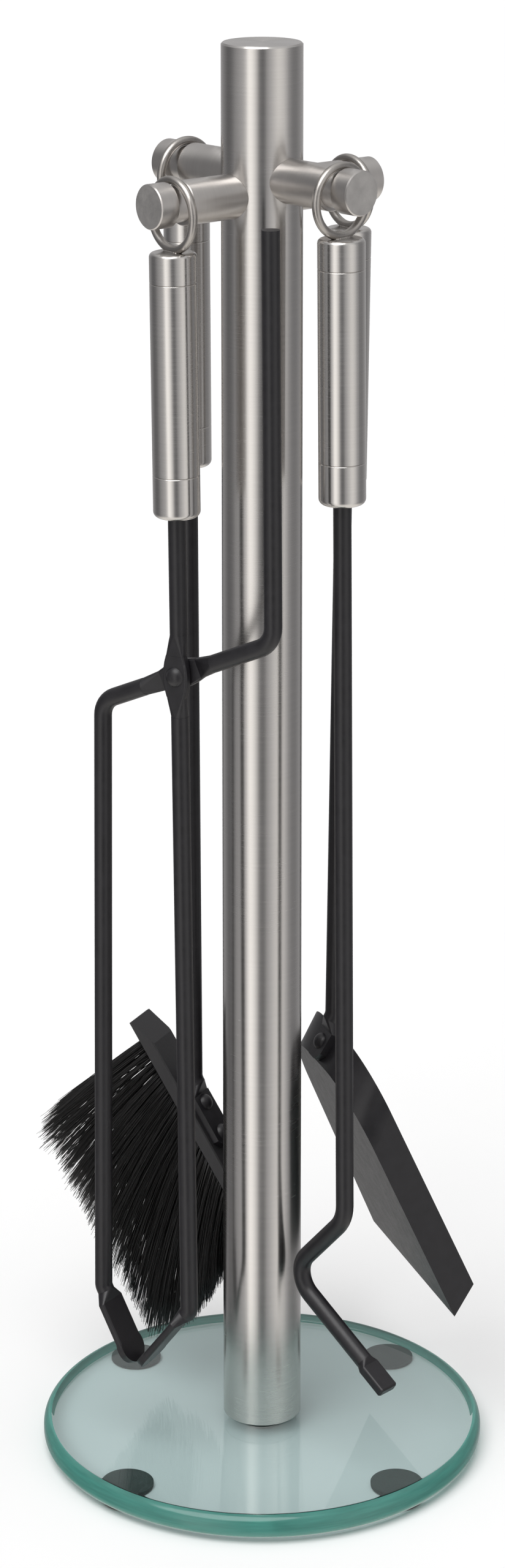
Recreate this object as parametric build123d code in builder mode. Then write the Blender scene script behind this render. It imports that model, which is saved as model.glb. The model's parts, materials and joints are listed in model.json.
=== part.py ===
from build123d import *
import math
import os

os.makedirs("parts", exist_ok=True)

# Fireplace tool set: a glass foot, a steel column with four pegs, and four tools hung on the pegs.
# Millimetres. Origin on the floor under the column's axis, +Z up, the front towards -Y.

# Stand
total_height = 695.0
foot_d, foot_t, foot_circle_r, foot_chamfer = 25.0, 2.0, 91.0, 0.6
glass_d, glass_t, glass_edge_r = 216.0, 12.0, 5.0
gasket_d, gasket_t = 36.0, 0.4
column_d, column_wall = 38.0, 1.5
cap_t, cap_spigot, cap_chamfer = 2.5, 14.0, 0.8
plug_t = 18.0
screw_d, screw_head_d, screw_head_t, screw_length = 8.0, 16.0, 1.2, 28.0
screw_head_chamfer, screw_hex_r, screw_hex_depth = 0.4, 3.0, 0.7
bush_d = 11.0
washer_d, washer_t = 20.0, 0.5

# Pegs: two studs cross inside the column, one above the other, and carry a peg at each end
stud_d = 6.0
stud_chamfer, stud_in_head = 0.6, 4.0
upper_stud_z, lower_stud_z = 632.5, 625.0
peg_d, neck_d = 21.0, 17.5
peg_end_r, head_length, groove_width = 64.6, 10.0, 8.0
peg_play, peg_chamfer, head_chamfer = 0.1, 0.4, 0.5

# Hanging rings and grips, the same on every tool
ring_inner_d, ring_wire_d = 28.0, 4.0
ring_inset = 4.9
hang_play = 0.3
grip_d, grip_wall = 22.0, 1.5
grip_cap_l, grip_tube_l, ferrule_l = 14.3, 90.0, 20.0
cap_saddle, cap_round, ferrule_round, grip_joint_chamfer = 1.0, 2.2, 3.0, 0.35
rod_d, tang_d = 8.5, 6.0
rod_socket, tang_short = 8.0, 1.0
spread_step = 0.1

# Radial play of the fits
snug, easy, loose = 0.05, 0.1, 0.5

# Which way each peg points, which way each tool faces, and how far its lower end hangs out of plumb
upper_stud_azimuth, lower_stud_azimuth = -46.0, 217.5
tools = {
    "poker": {"peg": upper_stud_azimuth, "peg_z": upper_stud_z, "faces": -43.0, "lean": -0.6},
    "brush": {"peg": upper_stud_azimuth + 180, "peg_z": upper_stud_z, "faces": 155.0, "lean": 0.28},
    "tongs": {"peg": lower_stud_azimuth, "peg_z": lower_stud_z, "faces": -32.0, "lean": -0.72},
    "shovel": {"peg": lower_stud_azimuth - 180, "peg_z": lower_stud_z, "faces": 18.7, "lean": 0.8},
}

# Worked-out levels and radii
column_r = column_d / 2
glass_top = foot_t + glass_t
column_bottom = glass_top + gasket_t
column_top = total_height - cap_t
column_bore_d = column_d - 2 * column_wall
shoulder_r = peg_end_r - head_length - groove_width
head_r = peg_end_r - head_length
hang_r = shoulder_r + ring_inset
ring_major_r = (ring_inner_d + ring_wire_d) / 2
ring_drop = ring_inner_d / 2 - neck_d / 2 - hang_play
cap_top = -(ring_drop + ring_major_r + ring_wire_d / 2) + cap_saddle
cap_bottom = cap_top - grip_cap_l
tube_bottom = cap_bottom - grip_tube_l
ferrule_bottom = tube_bottom - ferrule_l
rod_top = ferrule_bottom + rod_socket
rod_r = rod_d / 2


def radial(azimuth, radius, z=0.0):
    """A point at this azimuth and radius from the column's axis."""
    angle = math.radians(azimuth)
    return Vector(radius * math.cos(angle), radius * math.sin(angle), z)


def peg_plane(azimuth, radius, z):
    """A plane across a peg, its normal pointing outwards along the peg."""
    return Plane(origin=radial(azimuth, radius, z), x_dir=(0, 0, 1), z_dir=radial(azimuth, 1))


def tool_plane(tool, azimuth):
    """A plane square to a tool's shaft at its peg's axis, its X towards the azimuth."""
    lean, faces = math.radians(tool["lean"]), tool["faces"]
    up = radial(faces, math.sin(lean), math.cos(lean))
    across = up.cross(radial(azimuth, 1)).normalized()
    origin = radial(tool["peg"], hang_r, tool["peg_z"])
    return Plane(origin=origin, x_dir=across.cross(up), z_dir=up)


def side_view(plane):
    """The plane through a tool's shaft that its bends lie in: X the way it faces, Y up the shaft."""
    return Plane(origin=plane.origin, x_dir=plane.x_dir, z_dir=-plane.y_dir)


def along(side, x, y, direction, offset=0.0):
    """A section plane at a point of the side view, its normal along a direction in that view."""
    normal = side.x_dir * direction[0] + side.y_dir * direction[1]
    sideways = normal.cross(side.z_dir)
    origin = side.origin + side.x_dir * x + side.y_dir * y + sideways * offset
    return Plane(origin=origin, x_dir=side.z_dir, z_dir=normal)


def unit(x, y):
    """A unit direction in a side view."""
    length = math.hypot(x, y)
    return (x / length, y / length)


# ---------------------------------------------------------------- stand

with BuildPart() as glass_base:
    with BuildSketch(Plane.XY.offset(foot_t)):
        Circle(glass_d / 2)
        Circle(bush_d / 2 + easy, mode=Mode.SUBTRACT)
    extrude(amount=glass_t)
    rims = glass_base.edges().filter_by(GeomType.CIRCLE).group_by(SortBy.RADIUS)[-1]
    fillet(rims, radius=glass_edge_r)
glass_base.part.label = "glass_base"
export_step(glass_base.part, "parts/glass_base.step")

for index in range(4):
    with BuildPart() as foot:
        with BuildSketch():
            with PolarLocations(foot_circle_r, 1, start_angle=45 + 90 * index):
                Circle(foot_d / 2)
        extrude(amount=foot_t)
        chamfer(foot.faces().sort_by(Axis.Z)[0].edges(), length=foot_chamfer)
    foot.part.label = f"foot_pad_{index + 1}"
    export_step(foot.part, f"parts/foot_pad_{index + 1}.step")

with BuildPart() as glass_bush:
    with BuildSketch(Plane.XY.offset(foot_t)):
        Circle(bush_d / 2)
        Circle(screw_d / 2 + easy, mode=Mode.SUBTRACT)
    extrude(amount=glass_t)
glass_bush.part.label = "glass_bush"
export_step(glass_bush.part, "parts/glass_bush.step")

with BuildPart() as column_gasket:
    with BuildSketch(Plane.XY.offset(glass_top)):
        Circle(gasket_d / 2)
        Circle(screw_d / 2 + loose, mode=Mode.SUBTRACT)
    extrude(amount=gasket_t)
column_gasket.part.label = "column_gasket"
export_step(column_gasket.part, "parts/column_gasket.step")

with BuildPart() as clamp_washer:
    with BuildSketch(Plane.XY.offset(foot_t - washer_t)):
        Circle(washer_d / 2)
        Circle(screw_d / 2 + easy, mode=Mode.SUBTRACT)
    extrude(amount=washer_t)
clamp_washer.part.label = "clamp_washer"
export_step(clamp_washer.part, "parts/clamp_washer.step")

with BuildPart() as clamp_screw:
    head_z = foot_t - washer_t - screw_head_t
    with BuildSketch(Plane.XY.offset(head_z)):
        Circle(screw_head_d / 2)
    extrude(amount=screw_head_t)
    chamfer(clamp_screw.faces().sort_by(Axis.Z)[0].edges(), length=screw_head_chamfer)
    with BuildSketch(Plane.XY.offset(head_z)):
        RegularPolygon(radius=screw_hex_r, side_count=6)
    extrude(amount=screw_hex_depth, mode=Mode.SUBTRACT)
    with BuildSketch(Plane.XY.offset(head_z + screw_head_t)):
        Circle(screw_d / 2)
    extrude(amount=screw_length)
clamp_screw.part.label = "clamp_screw"
export_step(clamp_screw.part, "parts/clamp_screw.step")

with BuildPart() as column_plug:
    with BuildSketch(Plane.XY.offset(column_bottom)):
        Circle(column_bore_d / 2 - snug)
        Circle(screw_d / 2 + snug, mode=Mode.SUBTRACT)
    extrude(amount=plug_t)
column_plug.part.label = "column_plug"
export_step(column_plug.part, "parts/column_plug.step")

with BuildPart() as column_tube:
    with BuildSketch(Plane.XY.offset(column_bottom)):
        Circle(column_r)
        Circle(column_bore_d / 2, mode=Mode.SUBTRACT)
    extrude(amount=column_top - column_bottom)
    for stud_azimuth, stud_z in ((upper_stud_azimuth, upper_stud_z), (lower_stud_azimuth, lower_stud_z)):
        with BuildSketch(peg_plane(stud_azimuth, 0, stud_z)):
            Circle(stud_d / 2 + easy)
        extrude(amount=column_d, both=True, mode=Mode.SUBTRACT)
column_tube.part.label = "column_tube"
export_step(column_tube.part, "parts/column_tube.step")

with BuildPart() as column_cap:
    with BuildSketch(Plane.XY.offset(column_top)):
        Circle(column_r)
    extrude(amount=cap_t)
    chamfer(column_cap.faces().sort_by(Axis.Z)[-1].edges(), length=cap_chamfer)
    with BuildSketch(Plane.XY.offset(column_top)):
        Circle(column_bore_d / 2 - snug)
    extrude(amount=-cap_spigot)
column_cap.part.label = "column_cap"
export_step(column_cap.part, "parts/column_cap.step")

# ---------------------------------------------------------------- pegs

studs = {
    "peg_stud_upper": (upper_stud_azimuth, upper_stud_z),
    "peg_stud_lower": (lower_stud_azimuth, lower_stud_z),
}
stud_end_r = head_r + stud_in_head
for name, (stud_azimuth, stud_z) in studs.items():
    with BuildPart() as stud:
        with BuildSketch(peg_plane(stud_azimuth, 0, stud_z)):
            Circle(stud_d / 2)
        extrude(amount=stud_end_r, both=True)
        chamfer(stud.edges().filter_by(GeomType.CIRCLE), length=stud_chamfer)
    stud.part.label = name
    export_step(stud.part, f"parts/{name}.step")

for name, tool in tools.items():
    azimuth, peg_z = tool["peg"], tool["peg_z"]

    # The peg's root is coped to the column, so it starts inside the column and is cut back
    with BuildPart() as peg:
        with BuildSketch(peg_plane(azimuth, 0, peg_z)):
            Circle(peg_d / 2)
            Circle(stud_d / 2 + snug, mode=Mode.SUBTRACT)
        extrude(amount=shoulder_r)
        with BuildSketch(Plane.XY.offset(peg_z - peg_d)):
            Circle(column_r + snug)
        extrude(amount=2 * peg_d, mode=Mode.SUBTRACT)
        rim = peg.edges().filter_by(GeomType.CIRCLE).group_by(SortBy.RADIUS)[-1]
        chamfer(rim, length=peg_chamfer)
    peg.part.label = f"{name}_peg"
    export_step(peg.part, f"parts/{name}_peg.step")

    # The neck and head turn together on the stud's end
    with BuildPart() as peg_neck:
        with BuildSketch(peg_plane(azimuth, shoulder_r + peg_play, peg_z)):
            Circle(neck_d / 2)
            Circle(stud_d / 2 + snug, mode=Mode.SUBTRACT)
        extrude(amount=groove_width - peg_play)
    peg_neck.part.label = f"{name}_peg_neck"
    export_step(peg_neck.part, f"parts/{name}_peg_neck.step")

    with BuildPart() as peg_head:
        with BuildSketch(peg_plane(azimuth, head_r, peg_z)):
            Circle(peg_d / 2)
        extrude(amount=head_length)
        chamfer(peg_head.edges().filter_by(GeomType.CIRCLE), length=head_chamfer)
        with BuildSketch(peg_plane(azimuth, head_r, peg_z)):
            Circle(stud_d / 2 + snug)
        extrude(amount=stud_in_head + loose, mode=Mode.SUBTRACT)
    peg_head.part.label = f"{name}_peg_head"
    export_step(peg_head.part, f"parts/{name}_peg_head.step")

# ---------------------------------------------------------------- rings and grips

for name, tool in tools.items():
    hang = tool_plane(tool, tool["peg"])
    side = side_view(hang)
    shaft = Axis(hang.origin, hang.z_dir)
    ring_centre = hang.origin - hang.z_dir * ring_drop
    ring_plane = Plane(origin=ring_centre, x_dir=hang.y_dir, z_dir=hang.x_dir)

    with BuildPart(ring_plane) as ring:
        Torus(major_radius=ring_major_r, minor_radius=ring_wire_d / 2)
    ring.part.label = f"{name}_ring"
    export_step(ring.part, f"parts/{name}_ring.step")

    # The ring sits in a saddle in the cap's top, where it is welded
    with BuildPart() as grip_cap:
        with BuildSketch(side):
            with BuildLine():
                Polyline(
                    (tang_d / 2, cap_bottom),
                    (grip_d / 2, cap_bottom),
                    (grip_d / 2, cap_top),
                    (0, cap_top),
                    (0, cap_bottom + rod_socket),
                    (tang_d / 2, cap_bottom + rod_socket),
                    close=True,
                )
            make_face()
        revolve(axis=shaft)
        outer = grip_cap.edges().filter_by(GeomType.CIRCLE).group_by(SortBy.RADIUS)[-1]
        low, high = outer.sort_by(shaft)
        fillet(high, radius=cap_round)
        chamfer(low, length=grip_joint_chamfer)
        with Locations(ring_plane):
            Torus(major_radius=ring_major_r, minor_radius=ring_wire_d / 2, mode=Mode.SUBTRACT)
    grip_cap.part.label = f"{name}_grip_cap"
    export_step(grip_cap.part, f"parts/{name}_grip_cap.step")

    with BuildPart() as grip_tube:
        with BuildSketch(hang.offset(tube_bottom)):
            Circle(grip_d / 2)
            Circle(grip_d / 2 - grip_wall, mode=Mode.SUBTRACT)
        extrude(amount=grip_tube_l)
        rims = grip_tube.edges().filter_by(GeomType.CIRCLE).group_by(SortBy.RADIUS)[-1]
        chamfer(rims, length=grip_joint_chamfer)
    grip_tube.part.label = f"{name}_grip_tube"
    export_step(grip_tube.part, f"parts/{name}_grip_tube.step")

    with BuildPart() as ferrule:
        with BuildSketch(hang.offset(ferrule_bottom)):
            Circle(grip_d / 2)
        extrude(amount=ferrule_l)
        low, high = ferrule.edges().filter_by(GeomType.CIRCLE).sort_by(shaft)
        fillet(low, radius=ferrule_round)
        chamfer(high, length=grip_joint_chamfer)
        with BuildSketch(hang.offset(ferrule_bottom)):
            Circle(rod_r + snug)
        extrude(amount=rod_socket, mode=Mode.SUBTRACT)
        with BuildSketch(hang.offset(ferrule_bottom)):
            Circle(tang_d / 2 + easy)
        extrude(amount=ferrule_l, mode=Mode.SUBTRACT)
    ferrule.part.label = f"{name}_ferrule"
    export_step(ferrule.part, f"parts/{name}_ferrule.step")


# ---------------------------------------------------------------- forged bars

rivet_tail_step = 0.5


def tang(side):
    """The thinner threaded end that runs up inside the grip and screws into its cap."""
    with BuildSketch(along(side, 0, rod_top, (0, 1))) as section:
        Circle(tang_d / 2)
    extrude(section.sketch, amount=cap_bottom + rod_socket - tang_short - rod_top)


def bar(side, points, radii):
    """A round bar bent along points of a side view."""
    with BuildLine(side) as path:
        if len(points) > 2:
            FilletPolyline(*points, radius=radii)
        else:
            Line(*points)
    start = Plane(origin=path.line @ 0, z_dir=path.line % 0)
    with BuildSketch(start) as section:
        Circle(rod_r)
    sweep(section.sketch, path=path.line)


def spread(round_end, flat_end, width, thickness, corner=1.2):
    """The stretch where the round bar is hammered out to a flat section."""
    neck = rod_d - 2 * spread_step
    start = Plane(origin=round_end.origin, x_dir=flat_end.x_dir, z_dir=round_end.z_dir)
    with BuildSketch(start) as round_section:
        RectangleRounded(neck, neck, neck / 2 - spread_step / 2)
    with BuildSketch(flat_end) as flat_section:
        RectangleRounded(width, thickness, corner)
    loft([round_section.sketch, flat_section.sketch])


def flat_bar(start, length, width, thickness, corner=1.2):
    """A straight flat stretch of a hammered bar."""
    with BuildSketch(start) as section:
        RectangleRounded(width, thickness, corner)
    extrude(section.sketch, amount=length)


def oval_plate(plane, length):
    """A hammered plate with curved long sides, its faces parallel to the plane and its length along Y."""
    with BuildSketch(plane) as outline:
        with BuildLine():
            right = ThreePointArc((plate_end_w / 2, length / 2), (plate_w / 2, 0), (plate_end_w / 2, -length / 2))
            left = mirror(right, about=Plane.YZ)
            Line(right @ 0, left @ 0)
            Line(right @ 1, left @ 1)
        make_face()
    extrude(outline.sketch, amount=plate_t / 2, both=True)
    fillet(edges().filter_by(GeomType.CIRCLE), radius=plate_round)


def plate_spread_to(round_end, flat_end):
    """The spread that runs from the round bar to an end of its oval plate."""
    width, thickness = plate_end_w - 2 * spread_step, plate_t - 2 * spread_step
    spread(round_end, flat_end, width, thickness, plate_round)


def rivet(plane, grip, shank_d, head_d, head_h, tail_h=0.0):
    """A rivet or pin: a domed head on the plane, a shank through the grip, and a tail if it has one."""
    view = Plane(origin=plane.origin, x_dir=plane.x_dir, z_dir=-plane.y_dir)
    tail_r = head_d / 2 - rivet_tail_step
    with BuildSketch(view) as profile:
        with BuildLine():
            dome = ThreePointArc((0, head_h), (head_d * 0.3, head_h * 0.77), (head_d / 2, 0))
            corners = [dome @ 1, (shank_d / 2, 0), (shank_d / 2, -grip)]
            if tail_h > 0:
                corners += [(tail_r, -grip), (tail_r, -grip - tail_h)]
            Polyline(*corners, (0, -grip - tail_h), dome @ 0)
        make_face()
    revolve(profile.sketch, axis=Axis(plane.origin, plane.z_dir))


# ---------------------------------------------------------------- poker

poker_side = side_view(tool_plane(tools["poker"], tools["poker"]["faces"]))
poker_bends = [(0, rod_top), (0, -499.3), (-35.0, -536.4), (12.5, -568.5)]
poker_radii = [18.0, 13.0]
poker_tip_w, poker_tip_t, poker_tip_l = 11.0, 5.0, 15.0
poker_spread, poker_tip_chamfer = 3.0, 0.8
tip_way = unit(poker_bends[3][0] - poker_bends[2][0], poker_bends[3][1] - poker_bends[2][1])

with BuildPart() as poker_rod:
    tang(poker_side)
    bar(poker_side, poker_bends, poker_radii)
    end_x, end_y = poker_bends[3]
    flat_x, flat_y = end_x + tip_way[0] * poker_spread, end_y + tip_way[1] * poker_spread
    flat_start = along(poker_side, flat_x, flat_y, tip_way)
    spread(along(poker_side, end_x, end_y, tip_way), flat_start, poker_tip_w, poker_tip_t)
    flat_bar(flat_start, poker_tip_l, poker_tip_w, poker_tip_t)
    tip_face = poker_rod.faces().sort_by_distance(flat_start.offset(poker_tip_l).origin)[0]
    chamfer(tip_face.edges(), length=poker_tip_chamfer)
poker_rod.part.label = "poker_rod"
export_step(poker_rod.part, "parts/poker_rod.step")

# ---------------------------------------------------------------- tongs

tongs_side = side_view(tool_plane(tools["tongs"], tools["tongs"]["faces"]))
pivot_y = -222.4
plate_w, plate_end_w, plate_t, plate_gap, plate_round = 13.4, 10.0, 4.2, 0.4, 1.0
plate_offset = plate_t / 2 + plate_gap / 2
main_plate_l, lever_plate_l, plate_spread = 20.0, 22.0, 10.0
jaw_w, jaw_t, jaw_spread = 16.5, 3.5, 5.0
jaw_bend_r, arm_bend_r, thumb_bend_r = 5.5, 11.0, 12.0
cross_slope = 0.435
thumb_top, thumb_bend_x = (52.6, -7.4), 51.7
lever_bend_x, lever_jaw_bend, lever_jaw_tip = -43.5, (-50.0, -540.5), (-31.0, -576.0)
main_jaw_bend, main_jaw_tip = (0, -541.5), (-27.5, -576.0)
rivet_shank_d = 5.0


def jaw(side, bend, tip):
    """From just below the lower bend, the bar is spread to a broad flat jaw with a rounded end."""
    way = unit(tip[0] - bend[0], tip[1] - bend[1])
    length = math.dist(bend, tip)
    start_at = jaw_bend_r * 0.5
    x, y = bend[0] + way[0] * start_at, bend[1] + way[1] * start_at
    flat_at = start_at + jaw_spread
    flat_start = along(side, bend[0] + way[0] * flat_at, bend[1] + way[1] * flat_at, way)
    spread(along(side, x, y, way), flat_start, jaw_w, jaw_t)
    rest = length - flat_at - jaw_w / 2
    flat_bar(flat_start, rest, jaw_w, jaw_t)
    round_plane = Plane(
        origin=flat_start.origin + flat_start.z_dir * rest,
        x_dir=flat_start.x_dir,
        z_dir=flat_start.y_dir,
    )
    with BuildSketch(round_plane) as end:
        Circle(jaw_w / 2)
    extrude(end.sketch, amount=jaw_t / 2, both=True)
    return (x, y)


pivot_plane = tongs_side.shift_origin(tongs_side.origin + tongs_side.y_dir * pivot_y)
with BuildPart() as tongs_main_arm:
    oval_plate(pivot_plane.offset(plate_offset), main_plate_l)
    tang(tongs_side)
    half, reach = main_plate_l / 2, main_plate_l / 2 + plate_spread
    bar(tongs_side, [(0, rod_top), (0, pivot_y + reach)], None)
    top_round = along(tongs_side, 0, pivot_y + reach, (0, -1))
    top_flat = Plane(
        origin=tongs_side.origin + tongs_side.y_dir * (pivot_y + half) + tongs_side.z_dir * plate_offset,
        x_dir=tongs_side.x_dir,
        z_dir=-tongs_side.y_dir,
    )
    plate_spread_to(top_round, top_flat)
    plate_spread_to(along(tongs_side, 0, pivot_y - reach, (0, -1)), top_flat.offset(main_plate_l))
    main_end = jaw(tongs_side, main_jaw_bend, main_jaw_tip)
    bar(tongs_side, [(0, pivot_y - reach), main_jaw_bend, main_end], [jaw_bend_r])
    with BuildSketch(pivot_plane):
        Circle(rivet_shank_d / 2)
    extrude(amount=rod_d, both=True, mode=Mode.SUBTRACT)
tongs_main_arm.part.label = "tongs_main_arm"
export_step(tongs_main_arm.part, "parts/tongs_main_arm.step")

cross = unit(1, cross_slope)
with BuildPart() as tongs_lever_arm:
    lever_view = Plane(
        origin=pivot_plane.origin - tongs_side.z_dir * plate_offset,
        x_dir=tongs_side.x_dir * cross[1] - tongs_side.y_dir * cross[0],
        z_dir=tongs_side.z_dir,
    )
    oval_plate(lever_view, lever_plate_l)
    half, reach = lever_plate_l / 2, lever_plate_l / 2 + plate_spread
    thumb_bend = (thumb_bend_x, pivot_y + cross_slope * thumb_bend_x)
    lever_bend = (lever_bend_x, pivot_y + cross_slope * lever_bend_x)
    plate_right = (cross[0] * reach, pivot_y + cross[1] * reach)
    plate_left = (-cross[0] * reach, pivot_y - cross[1] * reach)
    bar(tongs_side, [thumb_top, thumb_bend, plate_right], [thumb_bend_r])
    down_left = (-cross[0], -cross[1])
    right_flat = along(tongs_side, cross[0] * half, pivot_y + cross[1] * half, down_left)
    right_flat = Plane(
        origin=right_flat.origin - tongs_side.z_dir * plate_offset,
        x_dir=right_flat.y_dir,
        z_dir=right_flat.z_dir,
    )
    plate_spread_to(along(tongs_side, *plate_right, down_left), right_flat)
    plate_spread_to(along(tongs_side, *plate_left, down_left), right_flat.offset(lever_plate_l))
    lever_end = jaw(tongs_side, lever_jaw_bend, lever_jaw_tip)
    bar(tongs_side, [plate_left, lever_bend, lever_jaw_bend, lever_end], [arm_bend_r, jaw_bend_r])
    with BuildSketch(pivot_plane):
        Circle(rivet_shank_d / 2 + snug)
    extrude(amount=rod_d, both=True, mode=Mode.SUBTRACT)
tongs_lever_arm.part.label = "tongs_lever_arm"
export_step(tongs_lever_arm.part, "parts/tongs_lever_arm.step")

rivet_head_d, rivet_head_h, rivet_tail_h = 9.5, 2.6, 1.2
with BuildPart() as tongs_rivet:
    grip = 2 * plate_t + plate_gap
    rivet(pivot_plane.offset(grip / 2), grip, rivet_shank_d, rivet_head_d, rivet_head_h, rivet_tail_h)
tongs_rivet.part.label = "tongs_rivet"
export_step(tongs_rivet.part, "parts/tongs_rivet.step")

# ---------------------------------------------------------------- shovel

shovel_side = side_view(tool_plane(tools["shovel"], tools["shovel"]["faces"]))
pan_t = 1.5
pan_back_w, pan_lip_w, pan_length = 90.0, 114.0, 129.5
pan_wall_l, pan_lean = 18.5, 34.0
pan_floor_r, pan_rim_r = 36.0, 32.0
pan_floor_slope = 24.6
pan_back = (-9.0, -438.5)
pan_cut_over, pan_cut_beyond = 3.0, 12.0
strap_w, strap_t, strap_spread, strap_bend_r, strap_run = 15.0, 3.6, 5.0, 8.0, 1.0
shovel_strap_l, shovel_rivet_at, strap_clip = 15.0, 9.5, 4.0
strap_rivet_d, strap_rivet_head_d, strap_rivet_head_h, strap_rivet_tail_h = 4.0, 8.5, 2.6, 1.2

slope = math.radians(pan_floor_slope)
floor_way = (math.sin(slope), -math.cos(slope))
floor_up = (math.cos(slope), math.sin(slope))
lean = math.radians(pan_lean)
wall_way = (
    math.cos(lean) * floor_up[0] - math.sin(lean) * floor_way[0],
    math.cos(lean) * floor_up[1] - math.sin(lean) * floor_way[1],
)
wall_out = (-wall_way[1], wall_way[0])
pan_depth = pan_wall_l * math.cos(lean)
pan_half_angle = math.atan((pan_lip_w - pan_back_w) / 2 / pan_length)


def pan_plane(height):
    """The plane parallel to the pan's floor at this height: X down the pan, its origin at the back."""
    back = height * math.tan(lean)
    x = pan_back[0] + floor_up[0] * height - floor_way[0] * back
    y = pan_back[1] + floor_up[1] * height - floor_way[1] * back
    way = shovel_side.x_dir * floor_way[0] + shovel_side.y_dir * floor_way[1]
    up = shovel_side.x_dir * floor_up[0] + shovel_side.y_dir * floor_up[1]
    origin = shovel_side.origin + shovel_side.x_dir * x + shovel_side.y_dir * y
    return Plane(origin=origin, x_dir=way, z_dir=up)


def pan_outline(height, inset, beyond):
    """The pan's outline at a height, drawn in by the sheet's thickness, its front carried on."""
    part_way = height / pan_depth
    corner_r = pan_floor_r + (pan_rim_r - pan_floor_r) * part_way - inset
    side_inset = inset / math.cos(pan_half_angle)
    back_x, front_x = inset, pan_length + beyond
    growth = math.tan(pan_half_angle)
    back_y = pan_back_w / 2 + growth * back_x - side_inset
    front_y = pan_back_w / 2 + growth * front_x - side_inset
    with BuildSketch(pan_plane(height)) as outline:
        with BuildLine():
            Polyline((front_x, front_y), (back_x, back_y), (back_x, -back_y), (front_x, -front_y), close=True)
        make_face()
        back_corners = outline.vertices().group_by(SortBy.DISTANCE)[0]
        fillet(back_corners, radius=corner_r)
    return outline.sketch


def strap(side, face_point, way, out, length):
    """A bar bent to lie along a face and hammered to a flat strap there, its end corners clipped."""
    centre = (face_point[0] + out[0] * rod_r, face_point[1] + out[1] * rod_r)
    bend_y = centre[1] - way[1] * centre[0] / way[0]
    tangent = strap_bend_r * math.tan(math.acos(-way[1]) / 2)
    run = tangent + strap_run
    start = (way[0] * run, bend_y + way[1] * run)
    bar(side, [(0, rod_top), (0, bend_y), start], [strap_bend_r])
    sink = rod_r - strap_t / 2
    flat_x = start[0] + way[0] * strap_spread - out[0] * sink
    flat_y = start[1] + way[1] * strap_spread - out[1] * sink
    flat_start = along(side, flat_x, flat_y, way)
    spread(along(side, *start, way), flat_start, strap_w, strap_t)
    with BuildSketch(Plane(origin=flat_start.origin, x_dir=flat_start.x_dir, z_dir=flat_start.y_dir)) as face:
        with BuildLine():
            half, clip = strap_w / 2, strap_clip
            Polyline(
                (-half, 0),
                (-half, -length + clip),
                (-half + clip, -length),
                (half - clip, -length),
                (half, -length + clip),
                (half, 0),
                close=True,
            )
        make_face()
    extrude(face.sketch, amount=strap_t / 2, both=True)


def face_plane(side, x, y, out):
    """The plane of a face in a side view, its normal pointing out of the face."""
    normal = side.x_dir * out[0] + side.y_dir * out[1]
    origin = side.origin + side.x_dir * x + side.y_dir * y
    return Plane(origin=origin, x_dir=side.z_dir, z_dir=normal)


rivet_x = pan_back[0] + wall_way[0] * shovel_rivet_at + wall_out[0] * strap_t
rivet_y = pan_back[1] + wall_way[1] * shovel_rivet_at + wall_out[1] * strap_t
shovel_rivet_plane = face_plane(shovel_side, rivet_x, rivet_y, wall_out)

with BuildPart() as shovel_pan:
    loft([pan_outline(0, 0, 0), pan_outline(pan_depth, 0, 0)])
    hollow_floor = pan_outline(pan_t, pan_t, pan_cut_beyond)
    hollow_top = pan_outline(pan_depth + pan_cut_over, pan_t, pan_cut_beyond)
    loft([hollow_floor, hollow_top], mode=Mode.SUBTRACT)
    with BuildSketch(shovel_rivet_plane):
        Circle(strap_rivet_d / 2)
    extrude(amount=rod_d, both=True, mode=Mode.SUBTRACT)
shovel_pan.part.label = "shovel_pan"
export_step(shovel_pan.part, "parts/shovel_pan.step")

with BuildPart() as shovel_rod:
    tang(shovel_side)
    strap(shovel_side, pan_back, (-wall_way[0], -wall_way[1]), wall_out, shovel_strap_l)
    with BuildSketch(shovel_rivet_plane):
        Circle(strap_rivet_d / 2)
    extrude(amount=rod_d, both=True, mode=Mode.SUBTRACT)
shovel_rod.part.label = "shovel_rod"
export_step(shovel_rod.part, "parts/shovel_rod.step")

with BuildPart() as shovel_rivet:
    rivet(
        shovel_rivet_plane,
        strap_t + pan_t,
        strap_rivet_d,
        strap_rivet_head_d,
        strap_rivet_head_h,
        strap_rivet_tail_h,
    )
shovel_rivet.part.label = "shovel_rivet"
export_step(shovel_rivet.part, "parts/shovel_rivet.step")

# ---------------------------------------------------------------- brush

brush_side = side_view(tool_plane(tools["brush"], tools["brush"]["faces"]))
block_slope = 32.7
block_top = (17.1, -440.5)
block_flat_l, block_w, block_t = 74.0, 20.0, 7.0
bevel_l, bevel_drop, block_chamfer = 14.5, 5.6, 0.6
brush_strap_l = 28.0
brush_rivets_at = (38.2, 55.2)
brush_screw_l = 5.5
bristle_w = 24.0
bristle_tips = [(80.1, -489.0), (82.1, -502.0), (21.6, -597.5), (2.1, -588.0), (-13.9, -562.0)]
bristle_root_top, bristle_root_end = 6.0, 8.0

slope = math.radians(block_slope)
block_way = (-math.sin(slope), -math.cos(slope))
block_front = (math.cos(slope), -math.sin(slope))
block_back = (-block_front[0], -block_front[1])


def on_block(down, through):
    """A point of the brush's side view: so far down the block, and so far through it from its back."""
    x = block_top[0] + block_way[0] * down + block_front[0] * through
    y = block_top[1] + block_way[1] * down + block_front[1] * through
    return (x, y)


rivet_planes = [face_plane(brush_side, *on_block(at, -strap_t), block_back) for at in brush_rivets_at]

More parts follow.
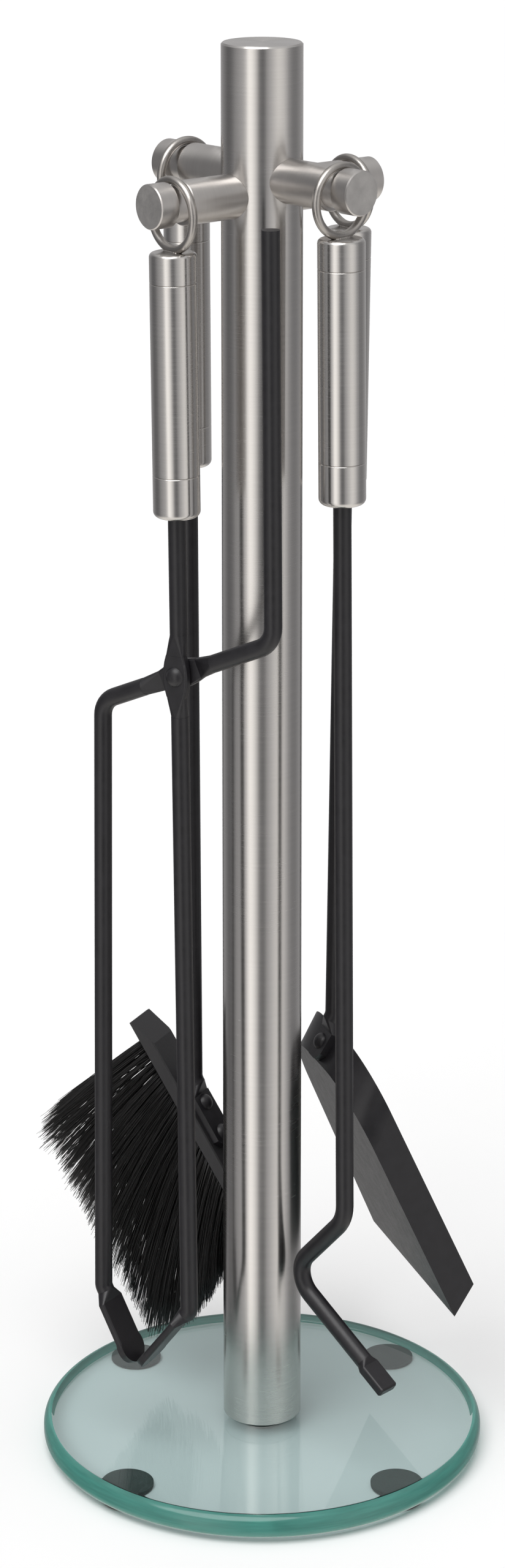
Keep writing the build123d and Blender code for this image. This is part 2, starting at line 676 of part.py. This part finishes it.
with BuildPart() as brush_block:
    with BuildSketch(brush_side):
        with BuildLine():
            Polyline(
                on_block(0, 0),
                on_block(block_flat_l, 0),
                on_block(block_flat_l + bevel_l, bevel_drop),
                on_block(block_flat_l + bevel_l, block_t),
                on_block(-bevel_l, block_t),
                on_block(-bevel_l, bevel_drop),
                close=True,
            )
        make_face()
    extrude(amount=block_w / 2, both=True)
    chamfer(brush_block.edges().filter_by(GeomType.LINE).sort_by(SortBy.LENGTH)[-4:], length=block_chamfer)
    for rivet_plane in rivet_planes:
        with BuildSketch(rivet_plane):
            Circle(strap_rivet_d / 2)
        extrude(amount=-strap_t - brush_screw_l, mode=Mode.SUBTRACT)
brush_block.part.label = "brush_block"
export_step(brush_block.part, "parts/brush_block.step")

with BuildPart() as brush_rod:
    tang(brush_side)
    strap(brush_side, block_top, block_way, block_back, brush_strap_l)
    for rivet_plane in rivet_planes:
        with BuildSketch(rivet_plane):
            Circle(strap_rivet_d / 2)
        extrude(amount=rod_d, both=True, mode=Mode.SUBTRACT)
brush_rod.part.label = "brush_rod"
export_step(brush_rod.part, "parts/brush_rod.step")

for index, rivet_plane in enumerate(rivet_planes):
    with BuildPart() as brush_pin:
        pin_length = strap_t + brush_screw_l
        rivet(rivet_plane, pin_length, strap_rivet_d, strap_rivet_head_d, strap_rivet_head_h)
    brush_pin.part.label = f"brush_pin_{index + 1}"
    export_step(brush_pin.part, f"parts/brush_pin_{index + 1}.step")

with BuildPart() as brush_bristles:
    with BuildSketch(brush_side):
        with BuildLine():
            Polyline(
                on_block(-bristle_root_top, block_t),
                *bristle_tips,
                on_block(block_flat_l + bristle_root_end, block_t),
                close=True,
            )
        make_face()
    extrude(amount=bristle_w / 2, both=True)
brush_bristles.part.label = "brush_bristles"
export_step(brush_bristles.part, "parts/brush_bristles.step")
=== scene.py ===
import json
import math
import random

import bmesh
import bpy
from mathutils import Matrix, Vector, noise


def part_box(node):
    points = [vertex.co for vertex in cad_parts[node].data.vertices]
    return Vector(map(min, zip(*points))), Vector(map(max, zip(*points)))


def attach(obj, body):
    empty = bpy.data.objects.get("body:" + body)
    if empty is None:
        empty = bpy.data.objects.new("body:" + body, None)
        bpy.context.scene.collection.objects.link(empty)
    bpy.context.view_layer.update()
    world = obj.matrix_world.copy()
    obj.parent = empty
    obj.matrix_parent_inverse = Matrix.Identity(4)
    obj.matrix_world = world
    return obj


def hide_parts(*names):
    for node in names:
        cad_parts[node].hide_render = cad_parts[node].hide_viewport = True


# Looks for the fireplace tool set. Metres, in the frame's own axes: +Z up, the front towards -Y.

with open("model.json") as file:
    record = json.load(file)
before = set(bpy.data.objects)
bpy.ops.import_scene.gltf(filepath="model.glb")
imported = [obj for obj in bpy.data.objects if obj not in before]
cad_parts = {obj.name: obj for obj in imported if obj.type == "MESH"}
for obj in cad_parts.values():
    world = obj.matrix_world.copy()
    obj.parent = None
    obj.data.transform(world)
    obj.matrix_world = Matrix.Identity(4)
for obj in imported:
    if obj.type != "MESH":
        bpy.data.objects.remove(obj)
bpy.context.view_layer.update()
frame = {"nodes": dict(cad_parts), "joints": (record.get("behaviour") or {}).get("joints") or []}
bpy.context.scene.view_settings.view_transform = "Standard"
nodes = frame["nodes"]
joints = {joint["name"]: joint for joint in frame["joints"]}

MM = 0.001
TOOLS = ("poker", "brush", "tongs", "shovel")
SQUARE_ON = 0.999
GLASS_GAP, BORE_PLAY, GLASS_ROUND = 0.05 * MM, 0.1 * MM, 5.0 * MM
GLASS_SEGMENTS, ROUND_STEPS = 256, 14
RIM_SHARE_TOP, RIM_SHARE_BELOW = 0.75, 0.96
RING_WIRE, CAP_SADDLE, WELD_HALF_LENGTH, WELD_RADIUS = 4.0 * MM, 1.0 * MM, 5.0 * MM, 0.75 * MM


# ---------------------------------------------------------------- places taken from the frame

def centre_of(node):
    """The middle of a CAD node's box."""
    low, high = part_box(node)
    return (low + high) / 2


def peg_axis(tool):
    """The direction in which a tool's peg points, away from the column."""
    return Vector(joints[f"{tool}_swing"]["axis"]).normalized()


def shaft_axis(tool):
    """The direction up a tool's grip, which hangs slightly out of plumb."""
    return (centre_of(f"{tool}_grip_cap") - centre_of(f"{tool}_ferrule")).normalized()


# ---------------------------------------------------------------- node helpers

class Nodes:
    """A new material's node tree, with short calls for the nodes used here."""

    def __init__(self, name):
        self.material = bpy.data.materials.new(name)
        self.material.use_nodes = True
        self.tree = self.material.node_tree
        self.shader = self.tree.nodes["Principled BSDF"]

    def add(self, kind, **settings):
        node = self.tree.nodes.new(kind)
        for key, value in settings.items():
            setattr(node, key, value)
        return node

    def link(self, source, target):
        self.tree.links.new(source, target)

    def place(self, scale, turn=(0, 0, 0)):
        """Object coordinates, turned and then scaled along each axis."""
        coords = self.add("ShaderNodeTexCoord")
        turned = self.add("ShaderNodeMapping")
        turned.inputs["Rotation"].default_value = turn
        scaled = self.add("ShaderNodeMapping")
        scaled.inputs["Scale"].default_value = scale
        self.link(coords.outputs["Object"], turned.inputs["Vector"])
        self.link(turned.outputs["Vector"], scaled.inputs["Vector"])
        return scaled.outputs["Vector"]

    def noise(self, vector, detail=3.0, roughness=0.5):
        texture = self.add("ShaderNodeTexNoise")
        texture.inputs["Scale"].default_value = 1.0
        texture.inputs["Detail"].default_value = detail
        texture.inputs["Roughness"].default_value = roughness
        self.link(vector, texture.inputs["Vector"])
        return texture.outputs["Fac"]

    def spread(self, source, low, high, start=0.3, end=0.7):
        """A value remapped from start..end to low..high."""
        node = self.add("ShaderNodeMapRange")
        node.inputs["From Min"].default_value = start
        node.inputs["From Max"].default_value = end
        node.inputs["To Min"].default_value = low
        node.inputs["To Max"].default_value = high
        self.link(source, node.inputs["Value"])
        return node.outputs["Result"]

    def ramp(self, source, *stops):
        node = self.add("ShaderNodeValToRGB")
        elements = node.color_ramp.elements
        while len(elements) < len(stops):
            elements.new(0.5)
        for element, (position, colour) in zip(elements, stops):
            element.position = position
            element.color = (*colour, 1)
        self.link(source, node.inputs["Fac"])
        return node.outputs["Color"]

    def mix(self, a, b, share):
        """A mix of two values."""
        node = self.add("ShaderNodeMix", data_type="FLOAT")
        node.inputs["Factor"].default_value = share
        self.link(a, node.inputs["A"])
        self.link(b, node.inputs["B"])
        return node.outputs["Result"]

    def bump(self, height, distance, under=None):
        node = self.add("ShaderNodeBump")
        node.inputs["Distance"].default_value = distance
        self.link(height, node.inputs["Height"])
        if under is not None:
            self.link(under, node.inputs["Normal"])
        return node.outputs["Normal"]

    def set(self, **values):
        """Constant values on the shader's own sockets, with _ for the spaces in their names."""
        for key, value in values.items():
            self.shader.inputs[key.replace("_", " ")].default_value = value


def finish_with(names, material):
    """Puts a material on carried-over CAD nodes."""
    for name in names:
        mesh = nodes[name].data
        mesh.materials.clear()
        mesh.materials.append(material)


def finish_ends(name, axis, material):
    """Puts a second material on the flat ends of a CAD node, square to an axis."""
    mesh = nodes[name].data
    mesh.materials.append(material)
    for face in mesh.polygons:
        if abs(face.normal.dot(axis)) > SQUARE_ON:
            face.material_index = 1


# ---------------------------------------------------------------- materials

def shades(colour, dark):
    """The colour and a darker one, as a ramp's two stops."""
    return (0.3, tuple(channel * dark for channel in colour)), (0.7, colour)


def brushed_steel(name, axis, colour=(0.64, 0.62, 0.60), roughness=(0.2, 0.3), line_depth=0.0018):
    """Stainless steel with fine brush lines that run round the given axis."""
    made = Nodes(name)
    turn = axis.rotation_difference(Vector((0, 0, 1))).to_euler("XYZ")
    fine = made.noise(made.place((60, 60, 5200), turn), 2.0)
    broad = made.noise(made.place((25, 25, 900), turn), 2.0)
    scratches = made.mix(fine, broad, 0.35)
    clouds = made.noise(made.place((30, 30, 12), turn), 4.0, 0.6)
    made.link(made.ramp(scratches, *shades(colour, 0.93)), made.shader.inputs["Base Color"])
    rough = made.mix(scratches, clouds, 0.5)
    made.link(made.spread(rough, *roughness), made.shader.inputs["Roughness"])
    made.link(made.bump(scratches, line_depth * MM), made.shader.inputs["Normal"])
    tangent = made.add("ShaderNodeTangent", direction_type="RADIAL", axis="Z")
    made.link(tangent.outputs["Tangent"], made.shader.inputs["Tangent"])
    made.set(Metallic=1.0, Anisotropic=0.6, Anisotropic_Rotation=0.25)
    return made.material


def satin_steel(name, colour=(0.6, 0.575, 0.55), roughness=(0.26, 0.42), grain=0.02):
    """Stainless steel with an even fine grain and no direction."""
    made = Nodes(name)
    grains = made.noise(made.place((1600, 1600, 1600)), 3.0)
    clouds = made.noise(made.place((110, 110, 110)), 4.0, 0.6)
    made.link(made.ramp(clouds, *shades(colour, 0.84)), made.shader.inputs["Base Color"])
    made.link(made.spread(made.mix(grains, clouds, 0.5), *roughness), made.shader.inputs["Roughness"])
    made.link(made.bump(grains, grain * MM), made.shader.inputs["Normal"])
    made.set(Metallic=1.0)
    return made.material


def powder_coat(name, colour=(0.013, 0.012, 0.0145), roughness=(0.33, 0.45)):
    """Black powder coat: satin, with a fine orange-peel texture and slight wear."""
    made = Nodes(name)
    peel = made.noise(made.place((1300, 1300, 1300)), 2.0)
    waves = made.noise(made.place((190, 190, 190)), 3.0)
    made.link(made.ramp(waves, *shades(colour, 0.7)), made.shader.inputs["Base Color"])
    made.link(made.spread(made.mix(peel, waves, 0.5), *roughness), made.shader.inputs["Roughness"])
    rolling = made.bump(waves, 0.06 * MM)
    made.link(made.bump(peel, 0.012 * MM, rolling), made.shader.inputs["Normal"])
    made.set(Specular_IOR_Level=0.5)
    return made.material


def plain_rubber(name, colour=(0.05, 0.07, 0.065)):
    """Dull pad material with pale and dark specks."""
    made = Nodes(name)
    specks = made.noise(made.place((700, 700, 700)), 4.0, 0.7)
    made.link(made.ramp(specks, *shades(colour, 0.35)), made.shader.inputs["Base Color"])
    made.link(made.spread(specks, 0.65, 0.9), made.shader.inputs["Roughness"])
    made.link(made.bump(specks, 0.15 * MM), made.shader.inputs["Normal"])
    return made.material


def moulded_nylon(name):
    """Natural nylon of the bush."""
    made = Nodes(name)
    clouds = made.noise(made.place((300, 300, 300)), 3.0)
    made.link(made.ramp(clouds, *shades((0.8, 0.8, 0.74), 0.9)), made.shader.inputs["Base Color"])
    made.link(made.spread(clouds, 0.35, 0.5), made.shader.inputs["Roughness"])
    made.link(made.bump(clouds, 0.02 * MM), made.shader.inputs["Normal"])
    return made.material


def block_finish(name):
    """The brush block's black lacquer over a fine grain."""
    made = Nodes(name)
    grain = made.noise(made.place((900, 900, 240)), 4.0, 0.6)
    made.link(made.ramp(grain, *shades((0.026, 0.025, 0.027), 0.7)), made.shader.inputs["Base Color"])
    made.link(made.spread(grain, 0.42, 0.58), made.shader.inputs["Roughness"])
    made.link(made.bump(grain, 0.05 * MM), made.shader.inputs["Normal"])
    return made.material


def bristle_black(name):
    """Black synthetic bristle, with a soft shine that changes from strand to strand."""
    made = Nodes(name)
    strands = made.noise(made.place((520, 520, 520)), 2.0)
    made.link(made.ramp(strands, *shades((0.016, 0.015, 0.015), 0.4)), made.shader.inputs["Base Color"])
    made.link(made.spread(strands, 0.3, 0.55), made.shader.inputs["Roughness"])
    return made.material


def float_glass(name, body_colour=(0.64, 0.86, 0.84), density=9.0, pass_colour=(0.74, 0.81, 0.81)):
    """Clear glass, green where it is looked through edgeways; lamps and soft light pass straight through."""
    made = Nodes(name)
    smears = made.noise(made.place((45, 14, 14)), 5.0, 0.65)
    made.link(made.spread(smears, 0.0, 0.035), made.shader.inputs["Roughness"])
    made.set(Base_Color=(1, 1, 1, 1), Transmission_Weight=1.0, IOR=1.5)
    output = made.tree.nodes["Material Output"]
    path = made.add("ShaderNodeLightPath")
    either = made.add("ShaderNodeMath", operation="MAXIMUM")
    made.link(path.outputs["Is Shadow Ray"], either.inputs[0])
    made.link(path.outputs["Is Diffuse Ray"], either.inputs[1])
    clear = made.add("ShaderNodeBsdfTransparent")
    clear.inputs["Color"].default_value = (*pass_colour, 1)
    mixed = made.add("ShaderNodeMixShader")
    made.link(either.outputs[0], mixed.inputs[0])
    made.link(made.shader.outputs[0], mixed.inputs[1])
    made.link(clear.outputs[0], mixed.inputs[2])
    made.link(mixed.outputs[0], output.inputs["Surface"])
    body = made.add("ShaderNodeVolumeAbsorption")
    body.inputs["Color"].default_value = (*body_colour, 1)
    body.inputs["Density"].default_value = density
    made.link(body.outputs[0], output.inputs["Volume"])
    return made.material


def ground_rim(name, colour=(0.09, 0.36, 0.30)):
    """The disc's ground rim: green glass that scatters the light which reaches it from inside."""
    made = Nodes(name)
    streaks = made.noise(made.place((60, 60, 900)), 3.0)
    made.link(made.ramp(streaks, *shades(colour, 0.8)), made.shader.inputs["Base Color"])
    made.link(made.spread(streaks, 0.08, 0.2), made.shader.inputs["Roughness"])
    made.set(Transmission_Weight=0.4, IOR=1.5)
    return made.material


upright = Vector((0, 0, 1))
column_steel = brushed_steel("column_steel", upright)
grip_steel = brushed_steel("grip_steel", upright, roughness=(0.18, 0.32))
ring_steel = satin_steel("ring_steel", colour=(0.5, 0.475, 0.45), roughness=(0.24, 0.4))
fixing_steel = satin_steel("fixing_steel", colour=(0.55, 0.55, 0.55))
face_steel = satin_steel("face_steel", colour=(0.7, 0.68, 0.66), roughness=(0.42, 0.6), grain=0.03)
black_coat = powder_coat("black_coat")
rubber = plain_rubber("pad_rubber")

finish_with(["column_tube", "column_cap"], column_steel)
finish_with([f"foot_pad_{index}" for index in range(1, 5)], rubber)
finish_with(["column_gasket", "clamp_washer"], rubber)
finish_with(["glass_bush"], moulded_nylon("bush_nylon"))
finish_with(["clamp_screw", "column_plug", "peg_stud_upper", "peg_stud_lower"], fixing_steel)
for tool in TOOLS:
    peg_steel = brushed_steel(f"{tool}_peg_steel", peg_axis(tool), (0.6, 0.575, 0.555), (0.26, 0.4))
    finish_with([f"{tool}_peg", f"{tool}_peg_neck", f"{tool}_peg_head"], peg_steel)
    finish_ends(f"{tool}_peg_head", peg_axis(tool), face_steel)
    finish_with([f"{tool}_ring"], ring_steel)
    finish_with([f"{tool}_grip_cap", f"{tool}_grip_tube", f"{tool}_ferrule"], grip_steel)
finish_with(["poker_rod", "tongs_main_arm", "tongs_lever_arm", "tongs_rivet"], black_coat)
finish_with(["shovel_rod", "shovel_pan", "shovel_rivet"], black_coat)
finish_with(["brush_rod", "brush_pin_1", "brush_pin_2"], black_coat)
finish_with(["brush_block"], block_finish("block_lacquer"))


# ---------------------------------------------------------------- mesh helpers

def new_piece(name, mesh_data, material, body, smooth=True):
    """An object from a bmesh, with its material and body."""
    mesh = bpy.data.meshes.new(name)
    mesh_data.to_mesh(mesh)
    mesh_data.free()
    mesh.materials.append(material)
    for face in mesh.polygons:
        face.use_smooth = smooth
    piece = bpy.data.objects.new(name, mesh)
    bpy.context.scene.collection.objects.link(piece)
    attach(piece, body)
    return piece


def lathe(profile, segments):
    """A closed solid of revolution about Z from a closed profile of (radius, height) points."""
    made = bmesh.new()
    rings = []
    for step in range(segments):
        angle = math.tau * step / segments
        turned = [(r * math.cos(angle), r * math.sin(angle), z) for r, z in profile]
        rings.append([made.verts.new(point) for point in turned])
    for step in range(segments):
        here, following = rings[step], rings[(step + 1) % segments]
        for index in range(len(profile)):
            onward = (index + 1) % len(profile)
            made.faces.new((here[index], following[index], following[onward], here[onward]))
    bmesh.ops.recalc_face_normals(made, faces=made.faces)
    return made


# ---------------------------------------------------------------- glass foot

def glass_disc():
    """The foot's disc again, finely divided so that light bends evenly in its rounded rim."""
    low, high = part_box("glass_base")
    bore_low, bore_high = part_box("glass_bush")
    bottom, top = low.z + GLASS_GAP, high.z - GLASS_GAP
    radius = (high.x - low.x) / 2
    bore = (bore_high.x - bore_low.x) / 2 + BORE_PLAY
    profile = [(bore, bottom)]
    for corner_z, start in ((bottom + GLASS_ROUND, -90), (top - GLASS_ROUND, 0)):
        for step in range(ROUND_STEPS + 1):
            angle = math.radians(start + 90 * step / ROUND_STEPS)
            across = radius - GLASS_ROUND + GLASS_ROUND * math.cos(angle)
            profile.append((across, corner_z + GLASS_ROUND * math.sin(angle)))
    profile.append((bore, top))
    made = lathe(profile, GLASS_SEGMENTS)
    disc = new_piece("glass_disc", made, float_glass("foot_glass"), "stand")
    disc.data.set_sharp_from_angle(angle=math.radians(40))
    disc.data.materials.append(ground_rim("foot_rim"))
    for face in disc.data.polygons:
        share = RIM_SHARE_TOP if face.center.z > top - GLASS_ROUND else RIM_SHARE_BELOW
        if math.hypot(face.center.x, face.center.y) > radius - GLASS_ROUND * share:
            face.material_index = 1
    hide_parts("glass_base")


glass_disc()


# ---------------------------------------------------------------- brush

def brush_axes():
    """The brush's own axes: down the block, out of it along the bristles, and across it."""
    first, second = centre_of("brush_pin_1"), centre_of("brush_pin_2")
    down = (second - first).normalized()
    across = down.cross(centre_of("brush_ferrule") - first).normalized()
    out = across.cross(down)
    if out.dot(centre_of("brush_bristles") - first) < 0:
        out = -out
    return down, out, across


def in_axes(node, axes):
    """A CAD node's corners, measured along some axes."""
    corners = {tuple(round(v.co.dot(axis), 6) for axis in axes) for v in nodes[node].data.vertices}
    return sorted(corners)


def along_line(points, share):
    """The point at a share of the way along a line of points."""
    lengths = [(b - a).length for a, b in zip(points, points[1:])]
    left = share * sum(lengths)
    for (a, b), length in zip(zip(points, points[1:]), lengths):
        if left <= length:
            return a.lerp(b, left / length)
        left -= length
    return points[-1]


def strand(made, root, bend, tip, radius, sides=3, steps=7):
    """One bristle: a thin tapered tube, curved slightly between its root and its tip."""
    rings = []
    for step in range(steps + 1):
        t = step / steps
        point = root * (1 - t) ** 2 + bend * 2 * t * (1 - t) + tip * t * t
        way = ((bend - root) * (1 - t) + (tip - bend) * t).normalized()
        side = way.cross(Vector((0.3, 0.2, 0.9))).normalized()
        other = way.cross(side)
        thick = radius * (1 - 0.45 * t)
        ring = []
        for corner in range(sides):
            angle = math.tau * corner / sides
            ring.append(made.verts.new(point + (side * math.cos(angle) + other * math.sin(angle)) * thick))
        rings.append(ring)
    for here, following in zip(rings, rings[1:]):
        for corner in range(sides):
            onward = (corner + 1) % sides
            made.faces.new((here[corner], here[onward], following[onward], following[corner]))
    made.faces.new(rings[0][::-1])
    made.faces.new(rings[-1])


def bristles():
    """Tufts of long bristles set in rows in the block, their tips slightly uneven."""
    chance = random.Random(7)
    axes = brush_axes()
    down, out, across = axes
    block = in_axes("brush_block", axes)
    solid = in_axes("brush_bristles", axes)
    roots_at = max(corner[1] for corner in block)
    middle = sum(corner[2] for corner in solid) / len(solid)
    half_width = max(corner[2] for corner in solid) - middle
    outline = {(d, o) for d, o, _ in solid}
    root_ends = sorted(d for d, o in outline if o <= roots_at + MM)
    middle_down = sum(root_ends) / len(root_ends)
    tips = [Vector((d, o)) for d, o in outline if o > roots_at + MM]
    tips.sort(key=lambda tip: math.atan2(tip.x - middle_down, tip.y - roots_at))
    # The last corner leads back to the block, so no strand ends there
    tips = tips[:-1]
    rows, columns, in_tuft = 8, 30, 17
    end_inset, side_inset, tuft_radius, root_depth = 1.6 * MM, 2.4 * MM, 1.3 * MM, 1.0 * MM
    made = bmesh.new()
    for column in range(columns):
        u = (column + 0.5) / columns
        root_down = root_ends[0] + end_inset + (root_ends[-1] - root_ends[0] - 2 * end_inset) * u
        for row in range(rows):
            v = 2 * (row + 0.5) / rows - 1
            tuft_lean = Vector((chance.gauss(0, 1.3), chance.gauss(0, 1.0), chance.gauss(0, 1.2))) * MM
            for _ in range(in_tuft):
                spot, turn = tuft_radius * math.sqrt(chance.random()), chance.uniform(0, math.tau)
                root_d = root_down + spot * math.cos(turn)
                root_w = v * (half_width - side_inset) + spot * math.sin(turn)
                share = min(max(u + chance.gauss(0, 0.015), 0), 1)
                tip_2d = along_line(tips, share)
                reach = chance.gauss(0.98, 0.014)
                tip_d = root_d + (tip_2d.x - root_d) * reach + tuft_lean.x
                tip_o = roots_at + (tip_2d.y - roots_at) * reach + tuft_lean.y
                tip_w = root_w * 1.12 + tuft_lean.z + chance.gauss(0, 0.6) * MM
                bend_at = chance.uniform(0.4, 0.55)
                bend_o = roots_at + (tip_o - roots_at) * bend_at * 1.08
                bend_d = root_d + (tip_d - root_d) * bend_at * 0.85
                root = down * root_d + out * (roots_at - root_depth) + across * (middle + root_w)
                bend = down * bend_d + out * bend_o + across * (middle + (root_w + tip_w) / 2)
                tip = down * tip_d + out * tip_o + across * (middle + tip_w)
                strand(made, root, bend, tip, chance.uniform(0.15, 0.22) * MM)
    piece = new_piece("brush_strands", made, bristle_black("bristle_black"), "brush")
    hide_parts("brush_bristles")


bristles()


# ---------------------------------------------------------------- welds

def ring_weld(tool):
    """Two uneven beads where a ring is welded into the saddle of its cap."""
    ring_low, ring_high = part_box(f"{tool}_ring")
    up = shaft_axis(tool)
    peg = peg_axis(tool)
    thickness = (peg - up * peg.dot(up)).normalized()
    width = up.cross(thickness)
    centre = (ring_low + ring_high) / 2
    outer = (ring_high.z - ring_low.z) / 2
    cap_top = centre - up * (outer - CAP_SADDLE)
    made = bmesh.new()
    steps, sides = 26, 8
    for side in (-1, 1):
        rings = []
        for step in range(steps + 1):
            t = 2 * step / steps - 1
            swell = 1 + 0.22 * math.sin(step * 2.1 + side) + 0.25 * noise.noise(Vector((step * 0.7, side, 3)))
            radius = WELD_RADIUS * swell * math.sqrt(max(1 - t ** 4, 0.02))
            beside = RING_WIRE * 0.36 + 0.25 * MM * (1 - t * t)
            point = cap_top + width * (t * WELD_HALF_LENGTH) + thickness * side * beside
            ring = []
            for corner in range(sides):
                angle = math.tau * corner / sides
                around = thickness * math.cos(angle) + up * math.sin(angle)
                ring.append(made.verts.new(point + around * radius))
            rings.append(ring)
        for here, following in zip(rings, rings[1:]):
            for corner in range(sides):
                onward = (corner + 1) % sides
                made.faces.new((here[corner], here[onward], following[onward], following[corner]))
        made.faces.new(rings[0][::-1])
        made.faces.new(rings[-1])
    bmesh.ops.recalc_face_normals(made, faces=made.faces)
    new_piece(f"{tool}_ring_weld", made, ring_steel, tool)


for tool in TOOLS:
    ring_weld(tool)


# ---------------------------------------------------------------- floor, light and camera

def floor():
    """A wide pale floor. Polished metal sees the studio's walls in its place."""
    made = bmesh.new()
    bmesh.ops.create_grid(made, x_segments=1, y_segments=1, size=60.0)
    mesh = bpy.data.meshes.new("floor")
    made.to_mesh(mesh)
    made.free()
    surface = Nodes("floor_paper")
    grain = surface.noise(surface.place((9, 9, 9)), 4.0)
    surface.link(surface.ramp(grain, *shades((0.9, 0.9, 0.9), 0.99)), surface.shader.inputs["Base Color"])
    surface.set(Roughness=0.9, Specular_IOR_Level=0.1)
    mesh.materials.append(surface.material)
    plane = bpy.data.objects.new("floor", mesh)
    bpy.context.scene.collection.objects.link(plane)
    plane.visible_glossy = False


def studio_walls():
    """What surrounds the object: tall soft boxes with darker gaps, by the direction round the object."""
    world = bpy.data.worlds.new("studio")
    world.use_nodes = True
    bpy.context.scene.world = world
    tree = world.node_tree
    tree.nodes.clear()

    def add(kind, **settings):
        node = tree.nodes.new(kind)
        for key, value in settings.items():
            setattr(node, key, value)
        return node

    # Degrees round from the front, to the right, and how bright the wall is there
    walls = [
        (-180, 0.50), (-134, 0.28), (-112, 0.15), (-96, 0.18), (-78, 0.36), (-56, 0.52), (-46, 0.75),
        (-38, 1.50), (-28, 1.35), (-16, 0.80), (-7, 0.20), (5, 0.15), (14, 0.42), (25, 0.60),
        (36, 0.80), (46, 0.98), (57, 0.92), (69, 0.70), (81, 0.40), (95, 0.26), (112, 0.25),
        (134, 0.36), (180, 0.50),
    ]
    brightest = 1.6
    direction = add("ShaderNodeTexCoord")
    split = add("ShaderNodeSeparateXYZ")
    tree.links.new(direction.outputs["Generated"], split.inputs[0])
    front = add("ShaderNodeMath", operation="MULTIPLY")
    front.inputs[1].default_value = -1
    tree.links.new(split.outputs["Y"], front.inputs[0])
    angle = add("ShaderNodeMath", operation="ARCTAN2")
    tree.links.new(split.outputs["X"], angle.inputs[0])
    tree.links.new(front.outputs[0], angle.inputs[1])
    share = add("ShaderNodeMapRange")
    share.inputs["From Min"].default_value = -math.pi
    share.inputs["From Max"].default_value = math.pi
    tree.links.new(angle.outputs[0], share.inputs["Value"])
    ramp = add("ShaderNodeValToRGB")
    elements = ramp.color_ramp.elements
    while len(elements) < len(walls):
        elements.new(0.5)
    for element, (degrees, level) in zip(elements, walls):
        element.position = (degrees + 180) / 360
        shade = level / brightest
        warm = min(level, 1.0)
        element.color = (shade, shade * (1.0 - 0.02 * warm), shade * (1.04 - 0.085 * warm), 1)
    tree.links.new(share.outputs["Result"], ramp.inputs["Fac"])

    # Overhead the walls give way to an even ceiling
    ceiling = add("ShaderNodeMix", data_type="RGBA")
    rise = add("ShaderNodeMapRange")
    rise.inputs["From Min"].default_value = 0.45
    rise.inputs["From Max"].default_value = 0.85
    tree.links.new(split.outputs["Z"], rise.inputs["Value"])
    tree.links.new(rise.outputs["Result"], ceiling.inputs["Factor"])
    tree.links.new(ramp.outputs["Color"], ceiling.inputs["A"])
    ceiling.inputs["B"].default_value = (0.45, 0.45, 0.45, 1)

    # Steeply downwards they give way to the pale floor
    ground = add("ShaderNodeMix", data_type="RGBA")
    fall = add("ShaderNodeMapRange")
    fall.inputs["From Min"].default_value = -0.5
    fall.inputs["From Max"].default_value = -0.8
    tree.links.new(split.outputs["Z"], fall.inputs["Value"])
    tree.links.new(fall.outputs["Result"], ground.inputs["Factor"])
    tree.links.new(ceiling.outputs["Result"], ground.inputs["A"])
    ground.inputs["B"].default_value = (0.66, 0.64, 0.61, 1)
    seen_in_metal = add("ShaderNodeBackground")
    seen_in_metal.inputs["Strength"].default_value = brightest
    tree.links.new(ground.outputs["Result"], seen_in_metal.inputs["Color"])

    backdrop = add("ShaderNodeBackground")
    backdrop.inputs["Color"].default_value = (1, 1, 1, 1)
    backdrop.inputs["Strength"].default_value = 1.0
    path = add("ShaderNodeLightPath")
    mixed = add("ShaderNodeMixShader")
    tree.links.new(path.outputs["Is Camera Ray"], mixed.inputs[0])
    tree.links.new(seen_in_metal.outputs[0], mixed.inputs[1])
    tree.links.new(backdrop.outputs[0], mixed.inputs[2])
    output = add("ShaderNodeOutputWorld")
    tree.links.new(mixed.outputs[0], output.inputs["Surface"])


def soft_key():
    """A broad soft light from above, a little to the left and to the front."""
    light = bpy.data.lights.new("soft_key", "SUN")
    light.energy = 1.9
    light.angle = math.radians(50)
    lamp = bpy.data.objects.new("soft_key", light)
    lamp.rotation_euler = (math.radians(22), math.radians(-14), 0)
    bpy.context.scene.collection.objects.link(lamp)


def camera():
    """Looks down at the set from in front, from a little above its top."""
    data = bpy.data.cameras.new("camera")
    data.lens = 87.8
    data.sensor_width = 36.0
    data.shift_x = -0.0061
    data.shift_y = -0.275
    eye = bpy.data.objects.new("camera", data)
    eye.location = (0.0, -1.7433, 0.9258)
    eye.rotation_euler = (math.radians(90 - 12.19), 0, 0)
    bpy.context.scene.collection.objects.link(eye)
    bpy.context.scene.camera = eye


floor()
studio_walls()
soft_key()
camera()
